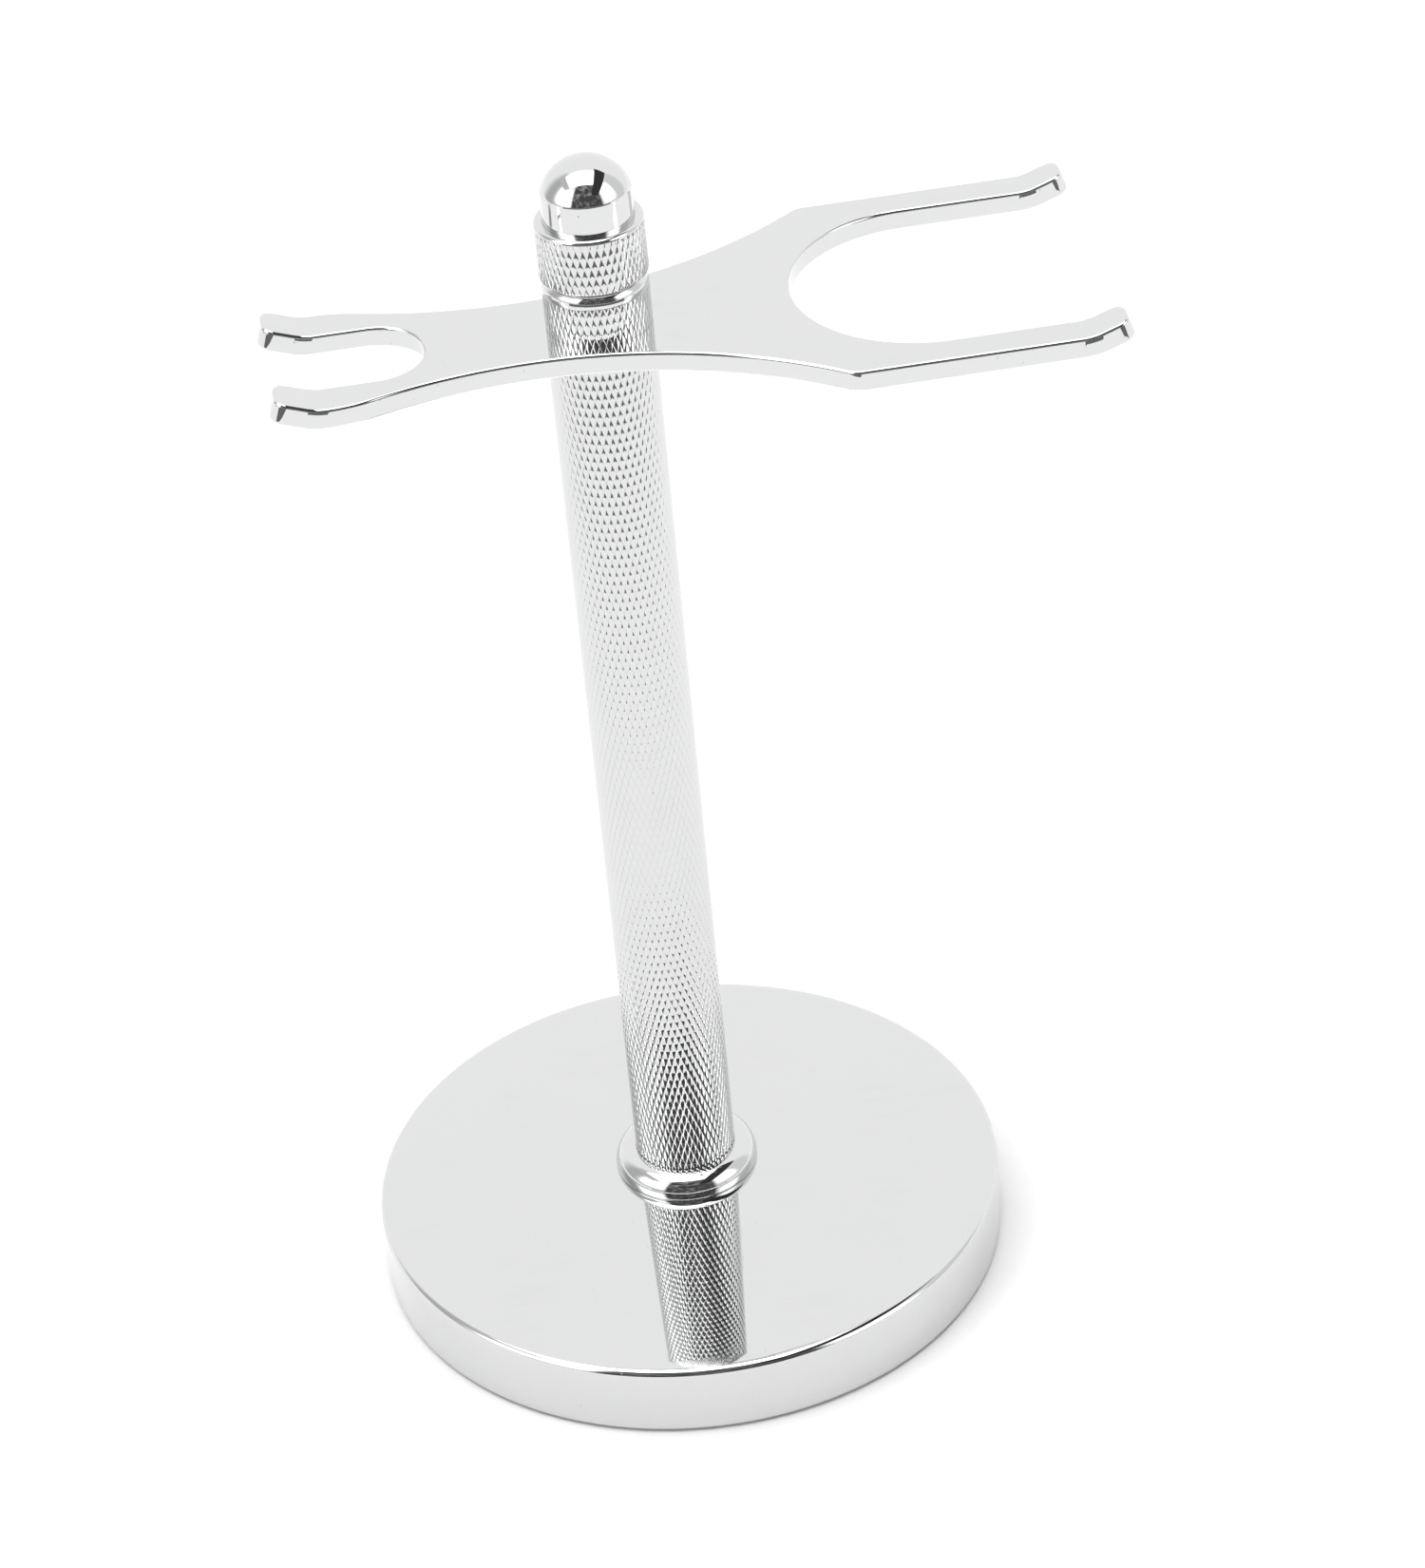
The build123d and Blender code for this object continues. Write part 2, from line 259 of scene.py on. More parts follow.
def blend(amount, first, second):
    # the Mix node's sockets by number: 0 is its factor, 6 and 7 are its colours, 2 is the colour out
    mixed = {"data_type": "RGBA", "clamp_factor": True}
    return amount.node("Mix", mixed, {0: amount, 6: first, 7: second}, 2)


def fromAxis(x, y):
    return x.math("SQRT", x * x + y * y)


chromeLook = {
    "plate": (0.652, 0.654, 0.658, 1),
    # the haze colour is what smears and pin-holes dull towards, and also the painted shade in knurl groove
    # bottoms
    "haze": (0.60, 0.60, 0.60, 1),
    "roughness": 0.025,
    # where it was handled: a cloudy noise times a streaky one, each from none to full
    "cloud": {"scale": 70.0, "twist": 0.6, "start": 0.48, "full": 0.72},
    "streak": {"scale": 160.0, "stretch": (1.0, 3.5, 1.0), "turn": (0.2, 0.1, 0.7),
               "start": 0.35, "full": 0.7},
    "smear": {"rough": 0.05, "dullAndShade": 0.25},
    # pin-holes, in the cells whose random level is past "chance"
    "speck": {"spacing": 1.3 * mm, "depth": 0.004 * mm, "inner": 0.05, "outer": 0.14,
              "chance": (0.55, 0.6), "rough": 0.25, "dullAndShade": 0.55},
    # groove bottoms on knurling: painted shade darkens their colour and they are rougher; both fade out at
    # this share of the depth below the crests
    "groove": {"share": 0.45, "rough": 0.10, "dullAndShade": 0.25},
}


def plateChrome(name, look, grooveShadeDepth=0.0, crestRadius=0.0, smearing=1.0):
    # bright plating: faint smears, a few pin-holes, and on knurling groove bottoms that are rougher and
    # darkened with painted shade
    material, start = newMaterial(name)
    place = start.node("TexCoord", output="Object")
    cloud, streak, smear = look["cloud"], look["streak"], look["smear"]
    speck, groove = look["speck"], look["groove"]
    puffs = {"Vector": place, "Scale": cloud["scale"], "Detail": 4.0, "Distortion": cloud["twist"]}
    cloudy = start.node("TexNoise", {}, puffs).rise(cloud["start"], cloud["full"])
    wiping = {"Vector": place, "Scale": streak["stretch"], "Rotation": streak["turn"]}
    wiped = start.node("Mapping", {}, wiping)
    wipes = {"Vector": wiped, "Scale": streak["scale"], "Detail": 5.0, "Roughness": 0.65}
    haze = cloudy * start.node("TexNoise", {}, wipes).rise(streak["start"], streak["full"])
    cells = {"Vector": place, "Scale": 1 / speck["spacing"], "Randomness": 1.0}
    spot = start.node("TexVoronoi", {}, cells, "Distance").rise(speck["inner"], speck["outer"])
    cellColour = start.node("TexVoronoi", {}, cells, "Color")
    lucky = start.node("SeparateColor", {}, {0: cellColour}, 0).rise(*speck["chance"])
    pinHole = (1 - spot) * lucky
    rough = haze * (smear["rough"] * smearing) + pinHole * speck["rough"] + look["roughness"]
    dullAndShade = haze * smear["dullAndShade"] + pinHole * speck["dullAndShade"]
    # painted shade: the colour darkens towards the knurl's groove bottoms, where shade falls, and the
    # roughness rises there
    if grooveShadeDepth:
        x, y = [start.node("SeparateXYZ", {}, {0: place}, axis) for axis in "XY"]
        bottom = crestRadius - grooveShadeDepth
        grooveShade = 1 - fromAxis(x, y).rise(bottom, crestRadius - grooveShadeDepth * groove["share"])
        rough = rough + grooveShade * groove["rough"]
        dullAndShade = dullAndShade + grooveShade * groove["dullAndShade"]
    colour = blend(dullAndShade, look["plate"], look["haze"])
    height = {"Height": 1 - pinHole, "Strength": 0.5, "Distance": speck["depth"]}
    pits = start.node("Bump", {}, height)
    surface = {"Base Color": colour, "Metallic": 1.0, "Roughness": rough, "Normal": pits}
    shader = start.node("BsdfPrincipled", {}, surface)
    start.node("OutputMaterial", {}, {"Surface": shader})
    return material


# shared shop tools

def turnedSize(node):
    # its radius, lowest and highest place
    low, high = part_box(node)
    return (high.x - low.x) / 2, low.z, high.z


def startSection(radius, height):
    bm = bmesh.new()
    return bm, bm.verts.new((radius, 0, height))


def lineTo(bm, vert, radius, height):
    end = bm.verts.new((radius, 0, height))
    bm.edges.new((vert, end))
    return end


def arcTo(bm, vert, centre, turn, steps):
    # a positive turn goes from the top outwards, then down and back in
    middle = (centre[0], 0, centre[1])
    swung = bmesh.ops.spin(bm, geom=[vert], cent=middle, axis=(0, 1, 0), angle=turn, steps=steps)
    return swung["geom_last"][0]


def ease(bm, parts, size, segments=5, affect="VERTICES"):
    rounding = {"offset_type": "OFFSET", "segments": segments, "profile": 0.5, "material": -1}
    bmesh.ops.bevel(bm, geom=parts, offset=size, affect=affect, **rounding)


def turnSolid(bm, steps):
    shape = bm.verts[:] + bm.edges[:]
    bmesh.ops.spin(bm, geom=shape, cent=(0, 0, 0), axis=upAxis, angle=2 * pi, steps=steps, use_merge=True)


def everything(bm):
    return bm.verts[:] + bm.edges[:] + bm.faces[:]


def cutAcross(bm, place, away, clear=True):
    # a flat cut through place; what lies past it, on the side that away points to, goes if clear is true
    plane = {"plane_co": place, "plane_no": away, "clear_outer": clear}
    bmesh.ops.bisect_plane(bm, geom=everything(bm), dist=sameSpot, **plane)


def openRim(bm, height):
    rim = [edge for edge in bm.edges if edge.is_boundary]
    return [edge for edge in rim if all(abs(vert.co.z - height) < rimSlack for vert in edge.verts)]


def extrudeRim(bm, rim):
    # a band of new faces grows from the rim; its free side is the new rim
    grown = bmesh.ops.extrude_edge_only(bm, edges=rim)["geom"]
    rim = [item for item in grown if isinstance(item, bmesh.types.BMEdge) and item.is_boundary]
    return rim, list({vert for edge in rim for vert in edge.verts})


def finishPiece(bm, name, body, material, stiff=40):
    # edges that turn by more than stiff, in degrees, stay sharp
    bmesh.ops.remove_doubles(bm, verts=bm.verts[:], dist=sameSpot)
    bmesh.ops.recalc_face_normals(bm, faces=bm.faces[:])
    for face in bm.faces:
        face.smooth = True
    mesh = bpy.data.meshes.new(name)
    bm.to_mesh(mesh)
    bm.free()
    mesh.set_sharp_from_angle(angle=radians(stiff))
    piece = bpy.data.objects.new(name, mesh)
    bpy.context.collection.objects.link(piece)
    mesh.materials.append(material)
    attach(piece, body)
    return piece


def weighNormals(piece):
    weighted = piece.modifiers.new("flatNormals", "WEIGHTED_NORMAL")
    weighted.keep_sharp = True


# base

baseSizes = {
    "rimHeight": 8.7 * mm,
    "crown": 1.85 * mm,
    "easing": 8.0 * mm,        # radius of the polished run from the crown into the edge
    "easingTurn": 9,           # degrees
    "edge": 0.9 * mm,
    "footEdge": 0.3 * mm,
    "seatRoom": 0.1 * mm,
    "padRoom": 0.3 * mm,
    "screwHole": 2.75 * mm,
    "fitTries": 8,
    "steps": {"round": 256, "crown": 16, "easing": 6, "edge": 8},
}


def turnBase(sizes, material):
    radius, bottom, seatTop = turnedSize("base_disc")
    stemRadius, socketFloor = turnedSize("stem_tube")[:2]
    padRadius, padTop = turnedSize("base_pad")[::2]
    washerRadius, washerTop = turnedSize("base_flat_washer")[::2]
    seat = turnedSize("foot_collar")[0] + sizes["seatRoom"]
    recess = padRadius + sizes["padRoom"]
    well = washerRadius + sizes["seatRoom"]
    crown, edge, easing = sizes["crown"], sizes["edge"], sizes["easing"]
    ball = (radius ** 2 + crown ** 2) / (2 * crown)
    ballHeight = bottom + sizes["rimHeight"] + crown - ball
    seatLean = asin(seat / ball)
    # the crown stops where the easing and the edge still fit inside the rim
    turn = radians(sizes["easingTurn"])
    easeStart = 0.0
    for fitTry in range(sizes["fitTries"]):
        edgeLean = easeStart + turn
        easeStart = asin((radius - easing * sin(edgeLean) - edge * (1 - sin(edgeLean))) / (ball - easing))
    edgeLean = easeStart + turn
    easeX = (ball - easing) * sin(easeStart)
    easeZ = ballHeight + (ball - easing) * cos(easeStart)
    edgeCentre = (easeX + (easing - edge) * sin(edgeLean), easeZ + (easing - edge) * cos(edgeLean))
    steps = sizes["steps"]

    bm, hole = startSection(sizes["screwHole"], washerTop)
    floorIn = lineTo(bm, hole, sizes["screwHole"], socketFloor)
    floorOut = lineTo(bm, floorIn, stemRadius, socketFloor)
    mouth = lineTo(bm, floorOut, stemRadius, seatTop)
    seatEdge = lineTo(bm, mouth, seat, seatTop)
    onCrown = arcTo(bm, seatEdge, (0, ballHeight), easeStart - seatLean, steps["crown"])
    onEasing = arcTo(bm, onCrown, (easeX, easeZ), turn, steps["easing"])
    rim = arcTo(bm, onEasing, edgeCentre, pi / 2 - edgeLean, steps["edge"])
    foot = lineTo(bm, rim, radius, bottom)
    lip = lineTo(bm, foot, recess, bottom)
    roof = lineTo(bm, lip, recess, padTop)
    wellMouth = lineTo(bm, roof, well, padTop)
    wellRoof = lineTo(bm, wellMouth, well, washerTop)
    bm.edges.new((wellRoof, hole))
    ease(bm, [foot, lip], sizes["footEdge"])
    turnSolid(bm, steps["round"])
    piece = finishPiece(bm, "base", "stand", material)
    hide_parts("base_disc")
    weighNormals(piece)


baseChrome = plateChrome("baseChrome", chromeLook)
turnBase(baseSizes, baseChrome)
print("razor stand: base turned")


# collar round the foot of the stem

collarSizes = {
    "footRound": 0.25 * mm,
    "wall": 0.3 * mm,       # from the base to where the shoulder starts
    "lip": 0.05 * mm,
    "boreRoom": 0.01 * mm,
    "steps": {"round": 160, "shoulder": 24, "foot": 6},
}


def turnCollar(sizes, material):
    radius, bottom, top = turnedSize("foot_collar")
    bore = turnedSize("stem_tube")[0] + sizes["boreRoom"]
    wallTop = bottom + sizes["wall"]
    footRound = sizes["footRound"]
    steps = sizes["steps"]
    bm, inner = startSection(bore, bottom)
    lip = lineTo(bm, inner, bore, top)
    crest = lineTo(bm, lip, radius - (top - wallTop) + sizes["lip"], top)
    wide = radius - crest.co.x
    ledge = arcTo(bm, crest, (crest.co.x, top - wide), pi / 2, steps["shoulder"])
    shoulder = [vert for vert in bm.verts if vert.co.x > crest.co.x]
    flatten = {"vec": (1, 1, (top - wallTop) / wide), "space": Matrix.Translation((0, 0, -top))}
    bmesh.ops.scale(bm, verts=shoulder, **flatten)
    wallFoot = lineTo(bm, ledge, radius, bottom + footRound)
    foot = arcTo(bm, wallFoot, (radius - footRound, bottom + footRound), pi / 2, steps["foot"])
    bm.edges.new((foot, inner))
    turnSolid(bm, steps["round"])
    piece = finishPiece(bm, "collar", "stand", material)
    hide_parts("foot_collar")
    weighNormals(piece)


smallChrome = plateChrome("smallChrome", chromeLook, smearing=0.6)
turnCollar(collarSizes, smallChrome)
print("razor stand: collar turned")


# knurled pieces: stem, sleeve and cap ring

knurlCut = {
    "starts": 48,             # diamonds round a piece
    "rise": 2.27 * mm,        # height of one diamond
    "bank": 0.11 * mm,        # from the groove line up to the top of its bank
    "depth": 0.074 * mm,
    "crest": 0.10 * mm,       # width of the rounding on top
    "crestRise": 0.026 * mm,
    "runOut": 0.06 * mm,      # where a groove climbs back to a plain end
    "stiff": 33,              # degrees; the groove lines turn by more and stay sharp
}
# the sleeve and the cap ring are cut more lightly than the stem
lightCut = {**knurlCut, "bank": 0.10 * mm, "depth": 0.055 * mm, "crest": 0.08 * mm, "crestRise": 0.018 * mm}


def knurlDepth(cut):
    return cut["depth"] + cut["crestRise"]


def plainEnd(cut, end):
    # how far the grooves stop short of an end: at its plain band, or where its rounding wears them off
    depth = knurlDepth(cut)
    return max(end["plain"], end["round"] - sqrt(2 * end["round"] * depth - depth ** 2))


def knurlSkin(cut, radius, bottom, top, lowEnd, highEnd):
    # a skin of raised diamonds
    bm = bmesh.new()
    half = cut["rise"] / 2
    rows = ceil((top - bottom) / half / 2) * 2 + 2
    middle = (top + bottom) / 2
    grooveRadius = radius - knurlDepth(cut)
    foot = bm.verts.new((grooveRadius, 0, middle - rows / 2 * half))
    head = bm.verts.new((grooveRadius, 0, middle + rows / 2 * half))
    line = bm.edges.new((foot, head))
    bmesh.ops.subdivide_edges(bm, edges=[line], cuts=rows - 1)
    turnSolid(bm, 2 * cut["starts"])
    column = pi / cut["starts"]
    odd, even = [], []
    for vert in bm.verts:
        across = round(atan2(vert.co.y, vert.co.x) / column)
        up = round((vert.co.z - middle) / half)
        (odd if (across + up) % 2 else even).append(vert)
    bmesh.ops.connect_verts(bm, verts=even)
    bmesh.ops.dissolve_verts(bm, verts=odd)
    bmesh.ops.recalc_face_normals(bm, faces=bm.faces[:])
    if bm.faces[0].normal.dot(bm.faces[0].calc_center_median()) < 0:
        bmesh.ops.reverse_faces(bm, faces=bm.faces[:])
    tops = bm.faces[:]
    for width, rise in ((cut["bank"], cut["depth"]), (cut["crest"], cut["crestRise"])):
        bmesh.ops.inset_individual(bm, faces=tops, thickness=width, depth=rise, use_even_offset=True)
    cutAcross(bm, (0, 0, bottom + plainEnd(cut, lowEnd)), (0, 0, -1))
    cutAcross(bm, (0, 0, top - plainEnd(cut, highEnd)), (0, 0, 1))
    for vert in bm.verts:
        near = lowEnd if vert.co.z < middle else highEnd
        fromEnd = min(vert.co.z - bottom, top - vert.co.z, near["round"])
        limit = radius - near["round"] + sqrt(near["round"] ** 2 - (near["round"] - fromEnd) ** 2)
        shrink = min(1, limit / hypot(vert.co.x, vert.co.y))
        vert.co.x *= shrink
        vert.co.y *= shrink
    return bm


def endRings(cut, radius, place, upwards, end, steps=6):
    # the ring sizes that carry a knurled skin round into its end face
    size = end["round"]
    rings = []
    start = acos(1 - knurlDepth(cut) / size)
    if end["plain"] > size:
        start = 0
        rings.append((radius, place - upwards * (end["plain"] - cut["runOut"])))
        rings.append((radius, place - upwards * size))
    for step in range(1, steps + 1):
        lean = start + (pi / 2 - start) * step / steps
        rings.append((radius - size + size * cos(lean), place - upwards * (size - size * sin(lean))))
    return rings


def growRim(bm, height, rings):
    # draws the open rim at this height through rings of given radius and height
    rim = openRim(bm, height)
    for radius, level in rings:
        rim, rimVerts = extrudeRim(bm, rim)
        for vert in rimVerts:
            stretch = radius / hypot(vert.co.x, vert.co.y)
            vert.co = (vert.co.x * stretch, vert.co.y * stretch, level)
    return rim


def knurledTube(cut, node, sizes, topRings, bore):
    radius, bottom, top = turnedSize(node)
    lowEnd, highEnd = sizes["foot"], sizes["head"]
    bm = knurlSkin(cut, radius, bottom, top, lowEnd, highEnd)
    upper = endRings(cut, radius, top, 1, highEnd) + topRings
    lower = endRings(cut, radius, bottom, -1, lowEnd) + [(bore, bottom)]
    upperRim = growRim(bm, top - plainEnd(cut, highEnd), upper)
    lowerRim = growRim(bm, bottom + plainEnd(cut, lowEnd), lower)
    bmesh.ops.bridge_loops(bm, edges=upperRim + lowerRim)
    return bm


stemSizes = {
    "bore": 4.5 * mm,
    "foot": {"round": 0.3 * mm, "plain": 0.0},
    "head": {"round": 0.15 * mm, "plain": 0.0},
}


def cutStem(cut, sizes, material):
    top = turnedSize("stem_tube")[2]
    bm = knurledTube(cut, "stem_tube", sizes, [(sizes["bore"], top)], sizes["bore"])
    piece = finishPiece(bm, "stem", "stand", material, cut["stiff"])
    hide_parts("stem_tube")


stemChrome = plateChrome("stemChrome", chromeLook, knurlDepth(knurlCut), turnedSize("stem_tube")[0])
cutStem(knurlCut, stemSizes, stemChrome)
print("razor stand: stem knurled")


sleeveSizes = {
    "boreRoom": 0.05 * mm,
    "foot": {"round": 0.13 * mm, "plain": 0.0},
    "head": {"round": 0.25 * mm, "plain": 0.0},
}


def cutSleeve(cut, sizes, material):
    bore = turnedSize("clamp_stud")[0] + sizes["boreRoom"]
    top = turnedSize("upper_sleeve")[2]
    bm = knurledTube(cut, "upper_sleeve", sizes, [(bore, top)], bore)
    piece = finishPiece(bm, "sleeve", "holder", material, cut["stiff"])
    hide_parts("upper_sleeve")


sleeveChrome = plateChrome("sleeveChrome", chromeLook, knurlDepth(lightCut), turnedSize("upper_sleeve")[0])
cutSleeve(lightCut, sleeveSizes, sleeveChrome)
print("razor stand: sleeve knurled")


capSizes = {
    "boreRoom": 0.05 * mm,
    "seatEdge": 0.03 * mm,
    "foot": {"round": 0.5 * mm, "plain": 0.0},
    "head": {"round": 0.45 * mm, "plain": 0.55 * mm},
}


def cutCapRing(cut, sizes, material):
    bore = turnedSize("clamp_stud")[0] + sizes["boreRoom"]
    domeRadius, seatFloor = turnedSize("cap_dome")[:2]
    top = turnedSize("cap_ring")[2]
    lead = sizes["seatEdge"]
    rings = [(domeRadius + lead, top), (domeRadius, top - lead), (domeRadius, seatFloor), (bore, seatFloor)]
    bm = knurledTube(cut, "cap_ring", sizes, rings, bore)
    piece = finishPiece(bm, "capRing", "cap", material, cut["stiff"])
    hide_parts("cap_ring")


capChrome = plateChrome("capChrome", chromeLook, knurlDepth(lightCut), turnedSize("cap_ring")[0])
cutCapRing(lightCut, capSizes, capChrome)
print("razor stand: cap ring knurled")


# thrust ring and dome

thrustSizes = {
    "round": 1.2 * mm,
    "edge": 0.1 * mm,
    "boreRoom": 0.05 * mm,
    "steps": {"round": 160, "shoulder": 12, "edge": 4},
}


def turnThrustRing(sizes, material):
    radius, bottom, top = turnedSize("thrust_ring")
    bore = turnedSize("clamp_stud")[0] + sizes["boreRoom"]
    bm, inner = startSection(bore, bottom)
    mouth = lineTo(bm, inner, bore, top)
    crest = lineTo(bm, mouth, radius - sizes["round"], top)
    steps = sizes["steps"]
    shoulder = arcTo(bm, crest, (crest.co.x, top - sizes["round"]), pi / 2, steps["shoulder"])
    foot = lineTo(bm, shoulder, radius, bottom)
    bm.edges.new((foot, inner))
    ease(bm, [foot], sizes["edge"], steps["edge"])
    turnSolid(bm, steps["round"])
    piece = finishPiece(bm, "thrustRing", "thrust_ring", material)
    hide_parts("thrust_ring")
    weighNormals(piece)


domeSizes = {
    "ball": 5.3 * mm,
    "crease": 0.1 * mm,
    "boreRoom": 0.3 * mm,
    "boreSpare": 1.0 * mm,
    "steps": {"round": 160, "ball": 26, "crease": 4},
}


def turnDome(sizes, material):
    radius, bottom, top = turnedSize("cap_dome")
    studRadius, studTop = turnedSize("clamp_stud")[::2]
    bore = studRadius + sizes["boreRoom"]
    roof = studTop + sizes["boreSpare"]
    bm, pole = startSection(0, top)
    steps = sizes["steps"]
    brow = arcTo(bm, pole, (0, top - sizes["ball"]), asin(radius / sizes["ball"]), steps["ball"])
    foot = lineTo(bm, brow, radius, bottom)
    mouth = lineTo(bm, foot, bore, bottom)
    inside = lineTo(bm, mouth, bore, roof)
    lineTo(bm, inside, 0, roof)
    ease(bm, [brow, foot], sizes["crease"], steps["crease"])
    turnSolid(bm, steps["round"])
    piece = finishPiece(bm, "dome", "cap", material)
    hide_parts("cap_dome")
    weighNormals(piece)


turnThrustRing(thrustSizes, smallChrome)
turnDome(domeSizes, smallChrome)
print("razor stand: thrust ring and dome turned")


# holder plate: one flat blank with a fork at each end, its prong ends bent up

plateSizes = {
    "waist": 6.85 * mm,          # half its width where it is narrowest
    "waistPlace": -8.5 * mm,
    "edge": 0.35 * mm,
    "tipAngle": 20,
    "tipBend": 6.0 * mm,         # inside the bend
    "tipCorner": 1.4 * mm,
    "holeRoom": 0.05 * mm,
    "join": 0.001 * mm,          # ends of the outline nearer than this are joined
    "square": 80,                # degrees; edges that turn by more are rounded
    "steps": {"sweep": 36, "corner": 10, "slot": 32, "hole": 32, "tip": 8, "bend": 10},
    "brush": {"slot": 15.0 * mm, "prong": 4.1 * mm, "centre": 36.0 * mm,
              "shoulder": 24.7 * mm, "corner": 2.0 * mm, "flat": 50.8 * mm},
    "razor": {"slot": 5.8 * mm, "prong": 4.75 * mm, "centre": 24.9 * mm,
              "shoulder": 27.8 * mm, "corner": 16.0 * mm, "flat": 32.1 * mm},
}


def planLine(bm, vert, x, y):
    end = bm.verts.new((x, y, vert.co.z))
    bm.edges.new((vert, end))
    return end


def planArc(bm, vert, centre, turn, steps):
    middle = (centre[0], centre[1], vert.co.z)
    swung = bmesh.ops.spin(bm, geom=[vert], cent=middle, axis=upAxis, angle=turn, steps=steps)
    return swung["geom_last"][0]


def bendStart(sizes, fork, thickness):
    # where the flat part ends, measured from the stem
    return fork["flat"] - (sizes["tipBend"] + thickness) * tan(radians(sizes["tipAngle"]) / 2)


def blankReach(sizes, fork, reach, thickness):
    # how far the flat blank runs, so that the bent tip ends at reach
    turn = radians(sizes["tipAngle"])
    start = bendStart(sizes, fork, thickness)
    outside = sizes["tipBend"] + thickness
    straight = (reach - start - outside * sin(turn)) / cos(turn)
    return start + (sizes["tipBend"] + thickness / 2) * turn + straight


def drawFork(bm, sizes, fork, side, waist, end, hole):
    # half of a fork's outline, from the waist round the prong to the stud hole
    width = fork["slot"] + fork["prong"]
    run = side * fork["shoulder"] - sizes["waistPlace"]
    sweep = (run ** 2 + (width - sizes["waist"]) ** 2) / (2 * (width - sizes["waist"]))
    corner = fork["corner"]
    lift = sizes["waist"] + sweep - width + corner
    reach = sqrt((sweep + corner) ** 2 - lift ** 2)
    turn = side * asin(reach / (sweep + corner))
    steps = sizes["steps"]
    vert = planArc(bm, waist, (sizes["waistPlace"], sizes["waist"] + sweep), turn, steps["sweep"])
    vert = planArc(bm, vert, (sizes["waistPlace"] + side * reach, width - corner), -turn, steps["corner"])
    outer = planLine(bm, vert, side * end, width)
    inner = planLine(bm, outer, side * end, fork["slot"])
    vert = planLine(bm, inner, side * fork["centre"], fork["slot"])
    vert = planArc(bm, vert, (side * fork["centre"], 0), side * pi / 2, steps["slot"])
    planLine(bm, vert, side * hole, 0)
    return [outer, inner]


def bendTips(bm, sizes, fork, side, top, thickness):
    # what lies past the start turns up round a line above the plate
    turn = radians(sizes["tipAngle"])
    start = bendStart(sizes, fork, thickness)
    middle = sizes["tipBend"] + thickness / 2
    centreHeight = top + sizes["tipBend"]
    for vert in bm.verts:
        run = side * vert.co.x - start
        if run > 0:
            bent = min(run / middle, turn)
            rest = run - bent * middle
            layer = centreHeight - vert.co.z
            vert.co.x = side * (start + layer * sin(bent) + rest * cos(bent))
            vert.co.z = centreHeight - layer * cos(bent) + rest * sin(bent)


def makeHolder(sizes, material):
    low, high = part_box("holder_plate")
    bottom = turnedSize("stem_tube")[2]
    top = turnedSize("upper_sleeve")[1]
    thickness = top - bottom
    hole = turnedSize("clamp_stud")[0] + sizes["holeRoom"]
    ends = [(1, sizes["brush"], high.x), (-1, sizes["razor"], -low.x)]
    steps = sizes["steps"]
    bm = bmesh.new()
    waist = bm.verts.new((sizes["waistPlace"], sizes["waist"], bottom))
    corners = []
    for side, fork, reach in ends:
        blank = blankReach(sizes, fork, reach, thickness)
        corners += drawFork(bm, sizes, fork, side, waist, blank, hole)
    ease(bm, corners, sizes["tipCorner"], steps["tip"])
    planArc(bm, bm.verts.new((hole, 0, bottom)), (0, 0), pi, steps["hole"])
    bmesh.ops.remove_doubles(bm, verts=bm.verts[:], dist=sizes["join"])
    bmesh.ops.contextual_create(bm, geom=bm.edges[:])
    bmesh.ops.mirror(bm, geom=everything(bm), axis="Y", merge_dist=sizes["join"])
    bmesh.ops.recalc_face_normals(bm, faces=bm.faces[:])
    raised = bmesh.ops.extrude_face_region(bm, geom=bm.faces[:], use_keep_orig=True)["geom"]
    lifted = [item for item in raised if isinstance(item, bmesh.types.BMVert)]
    bmesh.ops.translate(bm, verts=lifted, vec=(0, 0, thickness))
    bmesh.ops.recalc_face_normals(bm, faces=bm.faces[:])
    rim = [edge for edge in bm.edges if edge.calc_face_angle(0) > radians(sizes["square"])]
    rim = [edge for edge in rim if abs(edge.verts[0].co.z - edge.verts[1].co.z) < sameSpot]
    ease(bm, rim, sizes["edge"], affect="EDGES")
    # cuts across the plate where the slots' round ends start, and through the bends so that they can turn
    cuts = [side * fork["centre"] for side, fork, reach in ends]
    zone = (sizes["tipBend"] + thickness / 2) * radians(sizes["tipAngle"])
    for side, fork, reach in ends:
        start = bendStart(sizes, fork, thickness)
        cuts += [side * (start + zone * step / steps["bend"]) for step in range(steps["bend"] + 1)]
    for place in cuts:
        cutAcross(bm, (place, 0, 0), (1, 0, 0), clear=False)
    for side, fork, reach in ends:
        bendTips(bm, sizes, fork, side, top, thickness)
    piece = finishPiece(bm, "holder", "holder", material)
    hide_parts("holder_plate")
    weighNormals(piece)


holderChrome = plateChrome("holderChrome", chromeLook)
makeHolder(plateSizes, holderChrome)
print("razor stand: holder plate bent")


# clamp stud: a rolled thread with a turned-down tip at each end

studSizes = {
    "pitch": 0.8 * mm,
    "depth": 0.45 * mm,
    "crest": 0.1 * mm,       # width of the thread's top
    "rootShare": 0.12,       # of the pitch, flat at the root on each side
    "tip": 0.4 * mm,
    "tipTaper": 0.84,
    "spareTurns": 2,         # rolled past each end, then cut off
    "join": 0.002 * mm,
    "stepsRound": 32,
    "stiff": 30,
}


